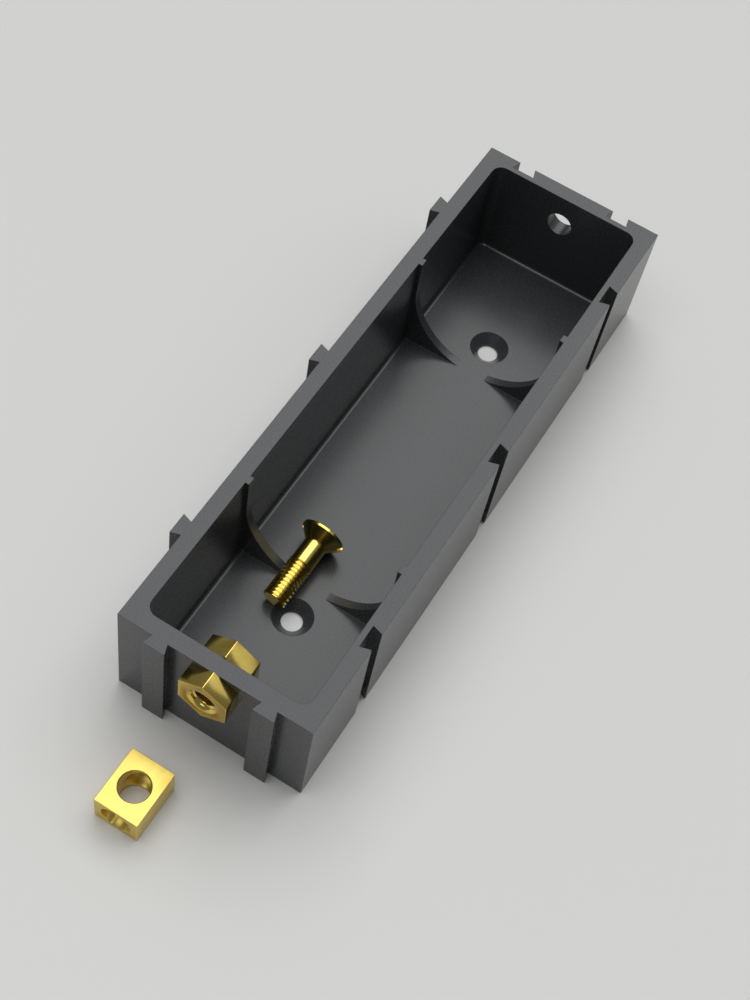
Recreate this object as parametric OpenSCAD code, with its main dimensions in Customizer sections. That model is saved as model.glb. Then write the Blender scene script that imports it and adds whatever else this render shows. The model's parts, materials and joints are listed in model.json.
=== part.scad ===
// Open tray for one 18650 round cell, moulded in dark plastic, with dovetails for joining
// trays side by side and end to end, and brass terminal hardware at its near end.
// The underside lies in the plane z = 0 and the origin is at its centre. +Y runs towards the
// far end, +X to the right and +Z up out of the mouth. All lengths are in millimetres.

/* [Tray] */
// Length of the tray over its end walls
tray_l = 81; // [79:0.5:120]
// Width of the tray over its side walls
tray_w = 24; // [23.4:0.1:34]
// Height of the rim above the underside
tray_h = 16; // [15.2:0.1:24]
// Thickness of the two side walls at the rim
side_t = 2; // [1.7:0.05:2.3]
// Thickness of the two end walls at the rim
end_t = 2; // [1.7:0.05:3]
// Thickness of the floor
floor_t = 1.5; // [1.2:0.05:2]
// How much thicker each wall is at the floor than at the rim, the mould's draft
draft = 0.25; // [0.05:0.05:0.4]
// Radius of the upright corners inside the tray, at the rim
corner_r = 1.4; // [1:0.1:3]
// Radius of the fillet between the walls and the floor
foot_r = 0.45; // [0.2:0.05:0.55]

/* [Cell cradle] */
// Largest diameter of the cell that the tray holds
cell_d = 18.6; // [17:0.1:18.8]
// Gap between the cell and the edge of the cradle ribs
cell_gap = 0.2; // [0.1:0.05:0.35]
// Thickness of the cradle ribs
rib_t = 1.05; // [0.8:0.05:2]
// Distance between the two pairs of cradle ribs
rib_pitch = 38; // [32:0.5:42]

/* [Dovetails] */
// Width of a tenon where it leaves the wall
tenon_root = 1.95; // [1.5:0.05:2.4]
// Width of a tenon at its outer face
tenon_tip = 2.75; // [2.5:0.05:3.4]
// How far a tenon stands out of the wall
tenon_depth = 1.2; // [0.8:0.05:1.3]
// Clearance round a tenon in its slot
joint_gap = 0.1; // [0.05:0.05:0.2]
// Distance between the two dovetails on each end
end_joint_pitch = 13.4; // [12.6:0.1:15]
// Distance between neighbouring dovetails on each side
side_joint_pitch = 28; // [27:0.5:32]
// Number of dovetails on each side
side_joints = 3; // [1:2:3]

/* [Floor screw holes] */
// Distance between the two screw holes in the floor
floor_hole_pitch = 47; // [46:0.5:56]
// Diameter of the screw holes
floor_hole_d = 2.6; // [2:0.1:3]
// Diameter of the countersink at the floor's upper face
sink_d = 5; // [4:0.1:5.2]

/* [Terminal holes] */
// Depth of the bush's axis below the rim, in the near end wall
near_hole_drop = 3.1; // [3:0.1:5]
// Depth of the empty terminal hole's axis below the rim, in the far end wall
far_hole_drop = 4.5; // [3:0.1:7]
// Diameter of the empty terminal hole
far_hole_d = 3.4; // [2.6:0.1:4]

/* [Brass bush and nut] */
// Size over the flats of the bush's head and of the nut
hex_af = 5.9; // [5.7:0.1:6.6]
// Thickness of the bush's head
bush_head_t = 2.15; // [1.5:0.05:3]
// Thickness of the nut
nut_t = 2.3; // [1.5:0.05:3]
// Diameter of the bush's threaded barrel
barrel_d = 4.4; // [4.2:0.1:4.8]
// Clearance of the barrel in the wall and in the nut
barrel_gap = 0.06; // [0.03:0.01:0.12]
// Tapped bore of the bush
bush_bore_d = 2.6; // [2:0.1:3]

/* [Contact screw] */
// Length of the contact screw over its head
screw_l = 10; // [8:0.5:12]
// Diameter of the contact screw
screw_d = 3; // [2.5:0.1:3.2]
// Diameter of the countersunk head
head_d = 5.5; // [5:0.1:6]
// Height of the straight rim at the top of the head
head_rim_t = 0.35; // [0.2:0.05:0.6]
// Length of the thread, from the tip
thread_l = 5.4; // [3:0.1:6]
// Width of the driver slot
driver_slot_w = 0.7; // [0.5:0.05:1]
// Depth of the driver slot
driver_slot_depth = 0.7; // [0.4:0.05:0.8]
// Where the tip of the screw lies, to the left of the tray's middle
screw_tip_left = 2.6; // [2.6:0.05:4]
// How far the tip of the screw lies from the middle of the tray, towards the near end
screw_tip_near = 23.4; // [22.5:0.1:24.5]
// Angle by which the lying screw points away from the long axis
screw_yaw = 2.7; // [0:0.1:6]

/* [Wire block] */
// Width of the block
block_w = 5.5; // [5:0.1:7]
// Length of the block
block_l = 7; // [6.5:0.1:9]
// Height of the block
block_h = 4.3; // [4:0.1:6]
// Diameter of the two crossing holes
block_hole_d = 3.6; // [2.6:0.1:3.7]
// Where the block stands, to the left of the tray's middle
block_left = 2.3; // [0:0.1:6]
// Distance from the tray's near end wall to the middle of the block
block_out = 10.7; // [9:0.1:20]

/* [Hidden] */
$fn = 64;

// Overrun of every cut past the face that it opens
overrun = 0.6;
// How deep the root of a tenon or rib runs into the wall that carries it
embed = 0.5;

// Inside of the tray at the rim
bay_w = tray_w - 2*side_t;
bay_l = tray_l - 2*end_t;
wall_h = tray_h - floor_t;

// Heights of the terminal holes
near_hole_z = tray_h - near_hole_drop;
far_hole_z = tray_h - far_hole_drop;

// The cell lies on the floor, and the cradle ribs follow it with a gap
cell_z = floor_t + cell_d/2;
cradle_r = cell_d/2 + cell_gap;

// Countersink of the floor holes, at 90 degrees
sink_depth = (sink_d - floor_hole_d)/2;

// Radius of the hexagons over their corners
hex_corner_r = hex_af/2/cos(30);
// Chamfer of the bush's mouth
mouth_break = 0.6;
// The barrel ends this far inside the nut's outer face
barrel_short = 0.15;
// Seat cut flat into the drafted wall for the nut
seat_gap = 0.4;

// Contact screw, from the tip at 0 to the top of the head
neck_relief = 0.06;
neck_r = screw_d/2 - neck_relief;
head_start = screw_l - head_rim_t - (head_d/2 - neck_r);
head_flare_r = 0.35;
tip_break = 0.12;
// The screw lies on its tip and on the edge of its head
lie_angle = atan((head_d - screw_d)/2/(screw_l - head_rim_t - tip_break));
lie_gap = 0.02;

// Break of the block's hole mouths
block_mouth_break = 0.1;

// Outline of the tray's inside at one upright corner, as radius and height round its axis:
// up the fillet at the floor, then up the drafted wall past the rim
foot_steps = 4;
function wall_r(z) = corner_r - draft*(tray_h - z)/wall_h;
foot_points = [for (i = [0:foot_steps])
    [wall_r(floor_t + foot_r) - foot_r*(1 - sin(90*i/foot_steps)),
     floor_t + foot_r*(1 - cos(90*i/foot_steps))]];

// Space inside the tray, with drafted walls, round corners and a filleted foot
module bay() {
    hull()
        for (sx = [-1, 1], sy = [-1, 1])
            translate([sx*(bay_w/2 - corner_r), sy*(bay_l/2 - corner_r), 0])
                rotate_extrude($fn = 32)
                    polygon(concat(
                        [[0, floor_t]],
                        foot_points,
                        [[wall_r(tray_h + overrun), tray_h + overrun], [0, tray_h + overrun]]));
}

// Outline of a dovetail that points along -Y from the wall's face, grown by a clearance
module dovetail_outline(gap, back) {
    polygon([
        [-tenon_root/2 - gap, back],
        [-tenon_root/2 - gap, 0],
        [-tenon_tip/2 - gap, -tenon_depth - gap],
        [tenon_tip/2 + gap, -tenon_depth - gap],
        [tenon_root/2 + gap, 0],
        [tenon_root/2 + gap, back]]);
}

// Tenon on a wall that faces -Y
module tenon() {
    linear_extrude(height = tray_h)
        dovetail_outline(0, embed);
}

// Cut for a tenon that comes in along -Y through the mouth
module slot() {
    translate([0, 0, -overrun])
        linear_extrude(height = tray_h + 2*overrun)
            dovetail_outline(joint_gap, overrun);
}

// Places the children at each dovetail of one end
module at_end_joints(y) {
    for (sx = [-1, 1])
        translate([sx*end_joint_pitch/2, y, 0])
            children();
}

// Places the children at each dovetail of one side
module at_side_joints(x) {
    for (i = [0:side_joints - 1])
        translate([x, (i - (side_joints - 1)/2)*side_joint_pitch, 0])
            rotate([0, 0, -90])
                children();
}

// A thin wall across the tray, cut out to the cell's round back
module cradle_rib() {
    difference() {
        translate([-bay_w/2 - embed, -rib_t/2, floor_t - embed])
            cube([bay_w + 2*embed, rib_t, wall_h + embed]);
        translate([0, rib_t/2 + overrun, cell_z])
            rotate([90, 0, 0])
                cylinder(r = cradle_r, h = rib_t + 2*overrun);
        translate([-cradle_r, -rib_t/2 - overrun, cell_z])
            cube([2*cradle_r, rib_t + 2*overrun, tray_h - cell_z + overrun]);
    }
}

// Countersunk hole down through the floor
module floor_hole() {
    translate([0, 0, -overrun])
        cylinder(d = floor_hole_d, h = floor_t + 2*overrun);
    translate([0, 0, floor_t - sink_depth])
        cylinder(d1 = floor_hole_d, d2 = sink_d + 2*overrun, h = sink_depth + overrun);
}

// Hole along Y through an end wall whose outer face is at the given place
module end_hole(d, y, z) {
    translate([0, y - overrun, z])
        rotate([-90, 0, 0])
            cylinder(d = d, h = end_t + draft + 2*overrun);
}

module tray() {
    color("#37383a")
        difference() {
            union() {
                difference() {
                    translate([-tray_w/2, -tray_l/2, 0])
                        cube([tray_w, tray_l, tray_h]);
                    bay();
                }
                for (sy = [-1, 1])
                    translate([0, sy*rib_pitch/2, 0])
                        cradle_rib();
                at_end_joints(-tray_l/2)
                    tenon();
                at_side_joints(-tray_w/2)
                    tenon();
            }
            at_end_joints(tray_l/2)
                slot();
            at_side_joints(tray_w/2)
                slot();
            for (sy = [-1, 1])
                translate([0, sy*floor_hole_pitch/2, 0])
                    floor_hole();
            end_hole(barrel_d + 2*barrel_gap, -tray_l/2, near_hole_z);
            end_hole(far_hole_d, tray_l/2 - end_t - draft, far_hole_z);
            // Flat seat for the nut on the drafted wall
            translate([0, -tray_l/2 + end_t, near_hole_z])
                rotate([-90, 0, 0])
                    cylinder(r = hex_corner_r + seat_gap, h = draft + overrun);
        }
}

// Hexagon along Z with a corner up along Y
module hexagon(thickness) {
    rotate([0, 0, 30])
        cylinder(r = hex_corner_r, h = thickness, $fn = 6);
}

// Bore along Z with its mouth broken at the end above
module broken_bore(d, depth, mouth) {
    translate([0, 0, -overrun])
        cylinder(d = d, h = depth + 2*overrun);
    translate([0, 0, depth - mouth])
        cylinder(d1 = d, d2 = d + 2*(mouth + overrun), h = mouth + overrun);
}

// Hexagon-headed bush: the head bears on the outside of the near wall
module terminal_bush() {
    barrel_l = end_t + nut_t - barrel_short;
    color("#c9a83c")
        translate([0, -tray_l/2, near_hole_z])
            rotate([90, 0, 0])
                difference() {
                    union() {
                        hexagon(bush_head_t);
                        translate([0, 0, -barrel_l])
                            cylinder(d = barrel_d, h = barrel_l + embed);
                    }
                    translate([0, 0, -barrel_l])
                        broken_bore(bush_bore_d, barrel_l + bush_head_t, mouth_break);
                }
}

// Nut on the bush's barrel, against the inside of the near wall
module bush_nut() {
    color("#c9a83c")
        translate([0, -tray_l/2 + end_t, near_hole_z])
            rotate([-90, 0, 0])
                difference() {
                    hexagon(nut_t);
                    translate([0, 0, -overrun])
                        cylinder(d = barrel_d + 2*barrel_gap, h = nut_t + 2*overrun);
                }
}

// Flank of the countersunk head, blended into the neck by an arc
flare_steps = 3;
flare_back = head_flare_r*tan(22.5);
flare_points = [for (i = [0:flare_steps])
    [neck_r + head_flare_r*(1 - cos(45*i/flare_steps)),
     head_start - flare_back + head_flare_r*sin(45*i/flare_steps)]];

// Countersunk screw, standing on its tip along Z
module screw_body() {
    difference() {
        rotate_extrude()
            polygon(concat(
                [[0, 0],
                 [screw_d/2 - tip_break, 0],
                 [screw_d/2, tip_break],
                 [screw_d/2, thread_l],
                 [neck_r, thread_l + neck_relief]],
                flare_points,
                [[head_d/2, screw_l - head_rim_t],
                 [head_d/2, screw_l],
                 [0, screw_l]]));
        translate([-head_d/2 - overrun, -driver_slot_w/2, screw_l - driver_slot_depth])
            cube([head_d + 2*overrun, driver_slot_w, driver_slot_depth + overrun]);
    }
}

// Contact screw, taken off and lying on the tray's floor
module contact_screw() {
    color("#d9b544")
        translate([-screw_tip_left, -screw_tip_near, floor_t + lie_gap])
            rotate([0, 0, -screw_yaw])
                rotate([-90 + lie_angle, 0, 0])
                    translate([0, -screw_d/2, -tip_break])
                        screw_body();
}

// Brass block with a hole down for the wire and one across for the screw, standing apart
module wire_block() {
    color("#d9b544")
        translate([-block_left, -tray_l/2 - block_out, 0])
            difference() {
                translate([-block_w/2, -block_l/2, 0])
                    cube([block_w, block_l, block_h]);
                broken_bore(block_hole_d, block_h, block_mouth_break);
                translate([0, block_l/2, block_h/2])
                    rotate([90, 0, 0])
                        broken_bore(block_hole_d, block_l, block_mouth_break);
            }
}

tray();
terminal_bush();
bush_nut();
contact_screw();
wire_block();
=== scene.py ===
import json
import math
import bpy
from mathutils import Euler, Matrix, Vector

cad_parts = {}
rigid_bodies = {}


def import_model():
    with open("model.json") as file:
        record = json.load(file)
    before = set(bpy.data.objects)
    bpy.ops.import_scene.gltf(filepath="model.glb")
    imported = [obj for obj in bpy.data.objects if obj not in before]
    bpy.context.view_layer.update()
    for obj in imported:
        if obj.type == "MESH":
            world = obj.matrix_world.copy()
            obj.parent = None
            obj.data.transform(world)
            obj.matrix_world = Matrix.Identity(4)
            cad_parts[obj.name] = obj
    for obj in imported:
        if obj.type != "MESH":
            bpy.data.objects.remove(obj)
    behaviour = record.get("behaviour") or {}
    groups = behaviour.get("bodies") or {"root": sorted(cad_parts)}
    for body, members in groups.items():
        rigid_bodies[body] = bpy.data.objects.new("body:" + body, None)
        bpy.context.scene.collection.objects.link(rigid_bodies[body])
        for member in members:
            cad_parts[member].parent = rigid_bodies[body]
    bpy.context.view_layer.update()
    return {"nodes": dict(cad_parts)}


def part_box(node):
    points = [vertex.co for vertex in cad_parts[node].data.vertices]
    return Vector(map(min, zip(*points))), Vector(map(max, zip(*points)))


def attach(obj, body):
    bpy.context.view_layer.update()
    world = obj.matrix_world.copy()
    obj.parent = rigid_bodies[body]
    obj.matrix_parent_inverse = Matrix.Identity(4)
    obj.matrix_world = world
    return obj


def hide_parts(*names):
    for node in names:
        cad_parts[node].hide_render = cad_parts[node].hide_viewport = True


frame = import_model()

nodes = frame["nodes"]
mm = 0.001
alongY = (math.pi / 2, 0, 0)   # the turn that lays the Z axis along Y
print("frame loaded:", ", ".join(sorted(nodes)))


# how finely the pieces are modelled
meshing = {
    "merge": 0.0004,           # mm, corners nearer than this become one
    "onCut": 0.0001,           # mm, corners nearer than this lie on the cut
    "turnSteps": 96,           # steps round a turned piece
    "threadSteps": 64,         # steps in one turn of a thread
    "breakSegments": 2,        # across a broken edge
    "flatWithin": 0.4,         # degrees, faces that meet flatter than this become one
    "smoothWithin": 28,        # degrees, edges flatter than this are shaded smooth
}


def pick(obj):
    bpy.ops.object.select_all(action="DESELECT")
    obj.select_set(True)
    bpy.context.view_layer.objects.active = obj


def editAll(obj):
    pick(obj)
    bpy.ops.object.mode_set(mode="EDIT")
    bpy.ops.mesh.select_all(action="SELECT")


def applyModifier(obj, kind, **settings):
    pick(obj)
    bpy.ops.object.modifier_add(type=kind)
    modifier = obj.modifiers[-1]
    for key, value in settings.items():
        setattr(modifier, key, value)
    bpy.ops.object.modifier_apply(modifier=modifier.name)


def combine(obj, tool, operation):
    applyModifier(obj, "BOOLEAN", operation=operation, object=tool, solver="EXACT")
    bpy.data.objects.remove(tool)


def tidyMesh(obj):
    # doubles are merged, and every face is turned outwards
    editAll(obj)
    bpy.ops.mesh.remove_doubles(threshold=meshing["merge"] * mm)
    bpy.ops.mesh.normals_make_consistent(inside=False)
    bpy.ops.object.mode_set(mode="OBJECT")


def wholeFaces(obj):
    # the triangles of each flat face become one face
    editAll(obj)
    bpy.ops.mesh.dissolve_limited(angle_limit=math.radians(meshing["flatWithin"]))
    bpy.ops.object.mode_set(mode="OBJECT")


def drawProfile(name, points):
    # a plane is merged to one corner, which is drawn out from point to point in the XZ plane
    bpy.ops.object.select_all(action="DESELECT")
    bpy.ops.mesh.primitive_plane_add(size=mm)
    obj = bpy.context.object
    obj.name = name
    obj.data.name = name
    editAll(obj)
    bpy.ops.mesh.merge(type="CENTER")
    x, z = points[0]
    bpy.ops.transform.translate(value=(x * mm, 0, z * mm))
    for nextX, nextZ in points[1:]:
        step = ((nextX - x) * mm, 0, (nextZ - z) * mm)
        bpy.ops.mesh.extrude_vertices_move(TRANSFORM_OT_translate={"value": step})
        x, z = nextX, nextZ
    bpy.ops.object.mode_set(mode="OBJECT")
    return obj


def spinProfile(name, points):
    # a turned solid: the profile starts and ends on the axis and is spun once round Z
    obj = drawProfile(name, points)
    editAll(obj)
    bpy.ops.mesh.spin(steps=meshing["turnSteps"], angle=2 * math.pi,
                      center=(0, 0, 0), axis=(0, 0, 1))
    bpy.ops.object.mode_set(mode="OBJECT")
    tidyMesh(obj)
    return obj


# a thread's outline in shares of its pitch, and the turns to spare at each end
threadForm = {
    "crestShare": 0.32,
    "rootShare": 0.14,
    "spareTurns": 1.5,
}


def threadRod(name, rootR, crestR, pitch, low, high):
    # one pitch of the outline is swept up a right-handed helix and cut flat at both ends
    crest, root = pitch * threadForm["crestShare"], pitch * threadForm["rootShare"]
    flank = (pitch - crest - root) / 2
    start = low - pitch * threadForm["spareTurns"]
    obj = drawProfile(name, [
        (rootR, start), (rootR, start + root), (crestR, start + root + flank),
        (crestR, start + root + flank + crest), (rootR, start + pitch)])
    turns = math.ceil((high - low) / pitch) + round(2 * threadForm["spareTurns"])
    steps = meshing["threadSteps"]
    applyModifier(obj, "SCREW", axis="Z", angle=2 * math.pi, screw_offset=pitch * mm,
                  iterations=turns, steps=steps, render_steps=steps)
    editAll(obj)
    bpy.ops.mesh.remove_doubles(threshold=meshing["merge"] * mm)
    for height, side in ((low, "clear_inner"), (high, "clear_outer")):
        bpy.ops.mesh.select_all(action="SELECT")
        bpy.ops.mesh.bisect(plane_co=(0, 0, height * mm), plane_no=(0, 0, 1), use_fill=True,
                            threshold=meshing["onCut"] * mm, **{side: True})
    bpy.ops.object.mode_set(mode="OBJECT")
    tidyMesh(obj)
    return obj


def place(obj, matrix):
    # the place goes into the mesh, so the finished object sits at the origin, unturned
    pick(obj)
    obj.matrix_world = matrix
    bpy.ops.object.transform_apply(location=True, rotation=True, scale=True)


def copyNode(node, name):
    # a CAD node's loose triangles, copied and merged, with its flat faces made whole
    pick(nodes[node])
    bpy.ops.object.duplicate(linked=False)
    obj = bpy.context.object
    obj.name = name
    obj.data.name = name
    bpy.ops.object.parent_clear(type="CLEAR_KEEP_TRANSFORM")
    tidyMesh(obj)
    wholeFaces(obj)
    return obj


def breakEdges(obj, width, sharpness):
    # every edge that turns by more than the sharpness in degrees gets a narrow rounded break
    applyModifier(obj, "BEVEL", width=width * mm, segments=meshing["breakSegments"],
                  limit_method="ANGLE", angle_limit=math.radians(sharpness),
                  harden_normals=False)


def hexLinear(code):
    # sRGB hex to the linear colour that the shader sockets take
    values = [int(code[i:i + 2], 16) / 255 for i in (1, 3, 5)]
    values = [v / 12.92 if v <= 0.04045 else ((v + 0.055) / 1.055) ** 2.4 for v in values]
    return (*values, 1.0)


def addNode(tree, kind, links=None, **settings):
    # links gives each input a value, or the output that feeds it
    node = tree.nodes.new(kind)
    for key, value in settings.items():
        setattr(node, key, value)
    for socket, value in (links or {}).items():
        if isinstance(value, bpy.types.NodeSocket):
            tree.links.new(value, node.inputs[socket])
        else:
            node.inputs[socket].default_value = value
    return node


noiseLow, noiseHigh = 0.3, 0.7   # nearly all of a noise pattern lies between these
mixShare, mixFirst, mixSecond, mixResult = 0, 6, 7, 2   # the numbers of a colour mix's sockets


def newMaterial(name):
    material = bpy.data.materials.new(name)
    material.use_nodes = True
    tree = material.node_tree
    tree.nodes.clear()
    shader = addNode(tree, "ShaderNodeBsdfPrincipled")
    addNode(tree, "ShaderNodeOutputMaterial", {"Surface": shader.outputs["BSDF"]})
    return material, tree, shader


def assign(obj, material):
    obj.data.materials.clear()
    obj.data.materials.append(material)


def finishPiece(obj, node, material):
    pick(obj)
    bpy.ops.object.shade_smooth_by_angle(angle=math.radians(meshing["smoothWithin"]))
    assign(obj, material)
    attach(obj, "root")
    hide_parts(node)
    print("piece done:", obj.name, len(obj.data.polygons), "faces")


# ABS, injection moulded in a smooth tool: a dark grey with a soft gloss that mirrors the walls
# in the floor, faint flow clouds, a very fine grain, and edges just rounded by the mould.
plasticLook = {
    "colour": "#3a3c3e",
    "cloudColour": "#36383a",
    "cloudSize": 9.0,          # mm, the flow clouds
    "grainSize": 0.16,         # mm, coarser than the real 0.03 so that it shows close to
    "grainDepth": 0.0012,      # mm
    "edgeRound": 0.09,         # mm
    "roughness": (0.24, 0.30),
    "ior": 1.53,
}


def makePlastic(look):
    material, tree, shader = newMaterial("absMouldedSatin")
    where = addNode(tree, "ShaderNodeTexCoord").outputs["Object"]
    clouds = addNode(tree, "ShaderNodeTexNoise", {
        "Vector": where, "Scale": 1 / (look["cloudSize"] * mm), "Detail": 3.0}).outputs["Fac"]
    grain = addNode(tree, "ShaderNodeTexNoise", {
        "Vector": where, "Scale": 1 / (look["grainSize"] * mm), "Detail": 2.0,
        "Roughness": 0.6}).outputs["Fac"]
    colour = addNode(tree, "ShaderNodeMix", {
        mixShare: clouds, mixFirst: hexLinear(look["colour"]),
        mixSecond: hexLinear(look["cloudColour"])}, data_type="RGBA").outputs[mixResult]
    rough = addNode(tree, "ShaderNodeMapRange", {
        "Value": grain, "From Min": noiseLow, "From Max": noiseHigh,
        "To Min": look["roughness"][0], "To Max": look["roughness"][1]}).outputs["Result"]
    edge = addNode(tree, "ShaderNodeBevel", {"Radius": look["edgeRound"] * mm},
                   samples=8).outputs["Normal"]
    bump = addNode(tree, "ShaderNodeBump", {
        "Strength": 1.0, "Distance": look["grainDepth"] * mm, "Height": grain,
        "Normal": edge}).outputs["Normal"]
    tree.links.new(colour, shader.inputs["Base Color"])
    tree.links.new(rough, shader.inputs["Roughness"])
    tree.links.new(bump, shader.inputs["Normal"])
    shader.inputs["IOR"].default_value = look["ior"]
    return material


# Free-cutting brass, turned or milled bright: a yellow metal with fine tool lines that follow
# the cut, and a faint browner bloom where it has been handled.
brassLook = {
    "colour": "#e2ca6e",
    "bloomColour": "#cfae4c",
    "bloomSize": 2.2,          # mm
    "bloomFrom": 0.45,         # the noise's values between which the bloom comes up
    "bloomTo": 0.75,
    "bloomMost": 0.6,          # its share where it is strongest
    "lineSpacing": 0.11,       # mm, twice the real feed so that it shows
    "lineLength": 6.0,         # mm, how far a milled line keeps its course
    "lineDepth": 0.0008,       # mm
    "turnedRoughness": (0.16, 0.24),
    "milledRoughness": (0.36, 0.46),
}


def makeBrass(look, name, middle, turn, milled=False):
    # middle and turn give the axis that the piece was turned round, or milled along
    material, tree, shader = newMaterial(name)
    where = addNode(tree, "ShaderNodeTexCoord").outputs["Object"]
    local = addNode(tree, "ShaderNodeMapping", {
        "Vector": where, "Location": middle, "Rotation": turn},
        vector_type="TEXTURE").outputs["Vector"]
    across = 1 / (look["lineSpacing"] * mm)
    if milled:
        # tool lines along the local Z: quick across, slow along
        along = 1 / (look["lineLength"] * mm)
        stretched = addNode(tree, "ShaderNodeVectorMath", {
            0: local, 1: (across, across, along)}, operation="MULTIPLY").outputs["Vector"]
        lines = addNode(tree, "ShaderNodeTexNoise", {
            "Vector": stretched, "Scale": 1.0, "Detail": 2.0}).outputs["Fac"]
        roughLow, roughHigh = look["milledRoughness"]
    else:
        # rings: the distance from the axis and the height along it, added, count the lines
        parts = addNode(tree, "ShaderNodeSeparateXYZ", {"Vector": local}).outputs
        flat = addNode(tree, "ShaderNodeCombineXYZ", {"X": parts["X"], "Y": parts["Y"]})
        radius = addNode(tree, "ShaderNodeVectorMath", {0: flat.outputs["Vector"]},
                         operation="LENGTH").outputs["Value"]
        count = addNode(tree, "ShaderNodeMath", {0: radius, 1: parts["Z"]},
                        operation="ADD").outputs["Value"]
        lines = addNode(tree, "ShaderNodeTexNoise", {"W": count, "Scale": across, "Detail": 2.0},
                        noise_dimensions="1D").outputs["Fac"]
        roughLow, roughHigh = look["turnedRoughness"]
    bloom = addNode(tree, "ShaderNodeTexNoise", {
        "Vector": where, "Scale": 1 / (look["bloomSize"] * mm), "Detail": 4.0,
        "Roughness": 0.6}).outputs["Fac"]
    share = addNode(tree, "ShaderNodeMapRange", {
        "Value": bloom, "From Min": look["bloomFrom"], "From Max": look["bloomTo"],
        "To Min": 0.0, "To Max": look["bloomMost"]}).outputs["Result"]
    colour = addNode(tree, "ShaderNodeMix", {
        mixShare: share, mixFirst: hexLinear(look["colour"]),
        mixSecond: hexLinear(look["bloomColour"])}, data_type="RGBA").outputs[mixResult]
    rough = addNode(tree, "ShaderNodeMapRange", {
        "Value": lines, "From Min": noiseLow, "From Max": noiseHigh,
        "To Min": roughLow, "To Max": roughHigh}).outputs["Result"]
    bump = addNode(tree, "ShaderNodeBump", {
        "Strength": 1.0, "Distance": look["lineDepth"] * mm,
        "Height": lines}).outputs["Normal"]
    tree.links.new(colour, shader.inputs["Base Color"])
    tree.links.new(rough, shader.inputs["Roughness"])
    tree.links.new(bump, shader.inputs["Normal"])
    shader.inputs["Metallic"].default_value = 1.0
    return material


# the tray's own solid is right as it is: it only takes its material
assign(nodes["tray"], makePlastic(plasticLook))
print("tray dressed")


# the contact screw, an M3 countersunk one with a cut thread, drawn standing on its tip
screwSize = {                  # mm
    "length": 10.0,
    "shankD": 3.0,
    "headD": 5.5,
    "rim": 0.35,               # height of the head's straight rim
    "coneAngle": 45,           # degrees, half of the countersink's 90
    "neckD": 2.88,
    "flareR": 0.35,            # blend between neck and head
    "flareSteps": 6,
    "threadL": 5.4,
    "pitch": 0.5,
    "rootD": 2.5,
    "tipBreak": 0.12,
    "edge": 0.06,              # broken edges
    "collarL": 0.12,           # the collar between thread and neck takes in the thread's end
    "collarProud": 0.004,
    "threadBury": 0.03,        # how far the thread runs into the collar
    "blankOver": 0.1,          # how far the blank that trims the thread stands out round it
    "slotW": 0.7,
    "slotDepth": 0.7,
    "slotOver": 0.4,           # how far the slot's cutter stands out of the head
    "tipLeft": 2.6,            # where it lies on the tray's floor
    "tipNear": 23.4,
    "yaw": 2.7,                # degrees off the long axis
    "floor": 1.5,              # the floor's upper side
    "restGap": 0.02,
}


def screwFlare(s, coneStart, cone):
    # the arc that blends the straight neck into the head's cone
    back = s["flareR"] * math.tan(cone / 2)
    angles = [cone * i / s["flareSteps"] for i in range(s["flareSteps"] + 1)]
    return [(s["neckD"] / 2 + s["flareR"] * (1 - math.cos(a)),
             coneStart - back + s["flareR"] * math.sin(a)) for a in angles]


def makeScrew(s):
    crestR, neckR = s["shankD"] / 2, s["neckD"] / 2
    headR, rootR = s["headD"] / 2, s["rootD"] / 2
    top, edge, threadL = s["length"], s["edge"], s["threadL"]
    cone = math.radians(s["coneAngle"])
    coneStart = top - s["rim"] - (headR - neckR) / math.tan(cone)
    collar, collarR = threadL - s["collarL"], crestR + s["collarProud"]
    screw = spinProfile("contactScrew", [
        (0, collar), (crestR - edge, collar), (collarR, collar + edge),
        (collarR, threadL), (neckR, threadL + crestR - neckR),
        *screwFlare(s, coneStart, cone),
        (headR, top - s["rim"]), (headR, top - edge), (headR - edge, top), (0, top)])
    thread = threadRod("screwThread", rootR, crestR, s["pitch"], 0, collar + s["threadBury"])
    over = s["blankOver"]
    blank = spinProfile("threadBlank", [
        (0, -over), (crestR - s["tipBreak"] - over, -over),
        (crestR + over, s["tipBreak"] + over), (crestR + over, threadL + over),
        (0, threadL + over)])
    combine(thread, blank, "INTERSECT")
    combine(screw, thread, "UNION")
    cutSlot(screw, s)
    return screw


def cutSlot(screw, s):
    length, depth = s["headD"] + 2 * s["slotOver"], s["slotDepth"] + s["slotOver"]
    middle = s["length"] - s["slotDepth"] + depth / 2
    bpy.ops.object.select_all(action="DESELECT")
    bpy.ops.mesh.primitive_cube_add(size=1, location=(0, 0, middle * mm),
                                    scale=(length * mm, s["slotW"] * mm, depth * mm))
    combine(screw, bpy.context.object, "DIFFERENCE")
    tidyMesh(screw)
    wholeFaces(screw)


def screwPlace(s):
    # it rests on the edge of its tip and the lower edge of its head's rim
    tipR, headR = s["shankD"] / 2, s["headD"] / 2
    lie = math.atan((headR - tipR) / (s["length"] - s["rim"] - s["tipBreak"]))
    where = Vector((-s["tipLeft"], -s["tipNear"], s["floor"] + s["restGap"])) * mm
    return (Matrix.Translation(where)
            @ Matrix.Rotation(math.radians(-s["yaw"]), 4, "Z")
            @ Matrix.Rotation(-math.pi / 2 + lie, 4, "X")
            @ Matrix.Translation(Vector((0, -tipR, -s["tipBreak"])) * mm))


screwMatrix = screwPlace(screwSize)
screwBrass = makeBrass(brassLook, "brassTurnedScrew", screwMatrix.to_translation(),
                       screwMatrix.to_euler())
contactScrew = makeScrew(screwSize)
place(contactScrew, screwMatrix)
finishPiece(contactScrew, "contact_screw", screwBrass)


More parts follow.
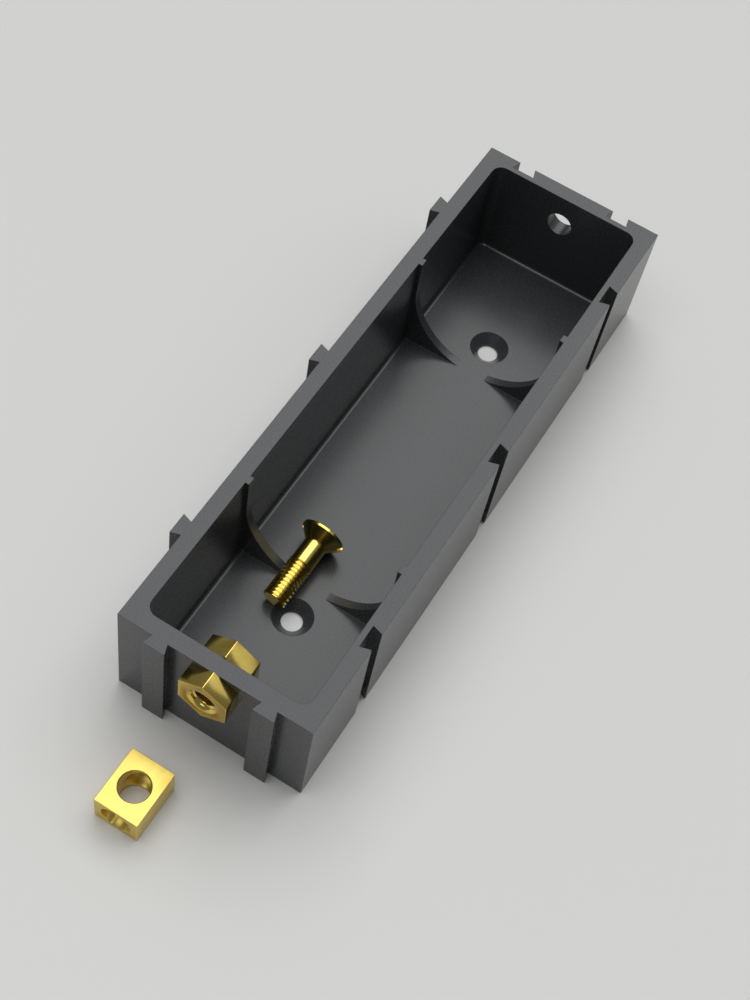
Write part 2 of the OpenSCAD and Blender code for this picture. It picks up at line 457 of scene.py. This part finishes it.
# the bush, with its real thread cut in the bore
bushSize = {                   # mm
    "rootR": 1.28,
    "crestR": 1.53,
    "pitch": 0.5,
    "threadOver": 0.5,         # how far the thread's cutter runs out at each end
    "axisHeight": 12.9,
    "edge": 0.06,              # broken edges
    "sharpness": 40,           # degrees
}


def makeBush(s):
    bush = copyNode("terminal_bush", "terminalBush")
    breakEdges(bush, s["edge"], s["sharpness"])
    low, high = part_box("terminal_bush")
    length = (high[1] - low[1]) / mm
    cutter = threadRod("bushThreadCutter", s["rootR"], s["crestR"], s["pitch"],
                       -s["threadOver"], length + s["threadOver"])
    place(cutter, Matrix.Translation((0, high[1], s["axisHeight"] * mm))
          @ Matrix.Rotation(math.pi / 2, 4, "X"))
    combine(bush, cutter, "DIFFERENCE")
    tidyMesh(bush)
    wholeFaces(bush)
    return bush


bushBrass = makeBrass(brassLook, "brassTurnedBush", (0, 0, bushSize["axisHeight"] * mm), alongY)
finishPiece(makeBush(bushSize), "terminal_bush", bushBrass)


# the nut, turned and parted from the same hexagon bar
bushNut = copyNode("bush_nut", "bushNut")
breakEdges(bushNut, bushSize["edge"], bushSize["sharpness"])
finishPiece(bushNut, "bush_nut", bushBrass)


# the wire block, sawn from bar and milled flat, its edges broken with a file
blockSize = {                  # mm
    "edge": 0.07,
    "sharpness": 50,           # degrees
}


def makeBlock(s):
    block = copyNode("wire_block", "wireBlock")
    breakEdges(block, s["edge"], s["sharpness"])
    tidyMesh(block)
    return block


blockLow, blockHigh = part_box("wire_block")
blockMiddle = [(a + b) / 2 for a, b in zip(blockLow, blockHigh)]
blockBrass = makeBrass(brassLook, "brassMilledBlock", blockMiddle, alongY, milled=True)
finishPiece(makeBlock(blockSize), "wire_block", blockBrass)


# pale floor, a wide soft key from above the far side that lights the floor evenly, a weaker
# light to the right, one overhead that picks out the fillets, and a plain sky that pales
# towards the horizon
studio = {
    "floorColour": "#dededc",
    "floorRoughness": 0.9,
    "floorSpecular": 0.2,
    "floorSize": 6.0,          # m
    "skyColour": "#ffffff",
    "skyStrength": 0.17,
    "horizonStrength": 0.56,
    "horizonTop": (0.06, 0.15),   # the band's upper edge, as the height of the view direction
    "keyFrom": (-0.06, 0.28, 0.62),
    "keySpread": 62.0,         # degrees
    "keyStrength": 1.8,        # W per square metre
    # lamps: where they stand in m, their width and height in m, and their power in W
    "lamps": {
        "sideLight": ((0.42, 0.36, 0.42), (0.40, 0.40), 0.26),
        "topLight": ((-0.10, -0.22, 0.66), (0.40, 0.30), 0.9),
    },
}


def makeFloor(s):
    bpy.ops.object.select_all(action="DESELECT")
    bpy.ops.mesh.primitive_plane_add(size=s["floorSize"])
    floor = bpy.context.object
    floor.name = "studioFloor"
    material, tree, shader = newMaterial("paperBackdrop")
    shader.inputs["Base Color"].default_value = hexLinear(s["floorColour"])
    shader.inputs["Roughness"].default_value = s["floorRoughness"]
    shader.inputs["Specular IOR Level"].default_value = s["floorSpecular"]
    assign(floor, material)


def addLight(name, kind, where, energy):
    # it stands at its place and shines at the origin
    turn = Vector(where).to_track_quat("Z", "Y").to_euler()
    bpy.ops.object.light_add(type=kind, location=where, rotation=turn)
    lamp = bpy.context.object
    lamp.name = name
    lamp.data.energy = energy
    return lamp.data


def makeLights(s):
    key = addLight("keyLight", "SUN", s["keyFrom"], s["keyStrength"])
    key.angle = math.radians(s["keySpread"])
    for name, (where, size, power) in s["lamps"].items():
        lamp = addLight(name, "AREA", where, power)
        lamp.shape = "RECTANGLE"
        lamp.size, lamp.size_y = size


def makeSky(s):
    world = bpy.data.worlds.new("studioSky")
    bpy.context.scene.world = world
    world.use_nodes = True
    tree = world.node_tree
    tree.nodes.clear()
    direction = addNode(tree, "ShaderNodeTexCoord").outputs["Generated"]
    height = addNode(tree, "ShaderNodeSeparateXYZ", {"Vector": direction}).outputs["Z"]
    strength = addNode(tree, "ShaderNodeMapRange", {
        "Value": height, "From Min": s["horizonTop"][0], "From Max": s["horizonTop"][1],
        "To Min": s["horizonStrength"], "To Max": s["skyStrength"]},
        interpolation_type="SMOOTHSTEP").outputs["Result"]
    sky = addNode(tree, "ShaderNodeBackground", {
        "Color": hexLinear(s["skyColour"]), "Strength": strength})
    addNode(tree, "ShaderNodeOutputWorld", {"Surface": sky.outputs["Background"]})


makeFloor(studio)
makeLights(studio)
makeSky(studio)


# the camera stands where the photo's perspective puts it
cameraSet = {
    "where": (0.036692, -0.105757, 0.173000),
    "turn": (31.4638, -6.8031, 31.0406),   # degrees
    "lens": 60.809,            # mm
    "sensor": 36,              # mm
    "clip": (0.005, 20),       # m
}


def makeCamera(s):
    turn = Euler([math.radians(a) for a in s["turn"]])
    bpy.ops.object.camera_add(location=s["where"], rotation=turn)
    camera = bpy.context.object
    camera.name = "photoCamera"
    camera.data.lens = s["lens"]
    camera.data.sensor_width = s["sensor"]
    camera.data.clip_start, camera.data.clip_end = s["clip"]
    bpy.context.scene.camera = camera


makeCamera(cameraSet)
bpy.context.scene.view_settings.view_transform = "Standard"
print("studio and camera ready")
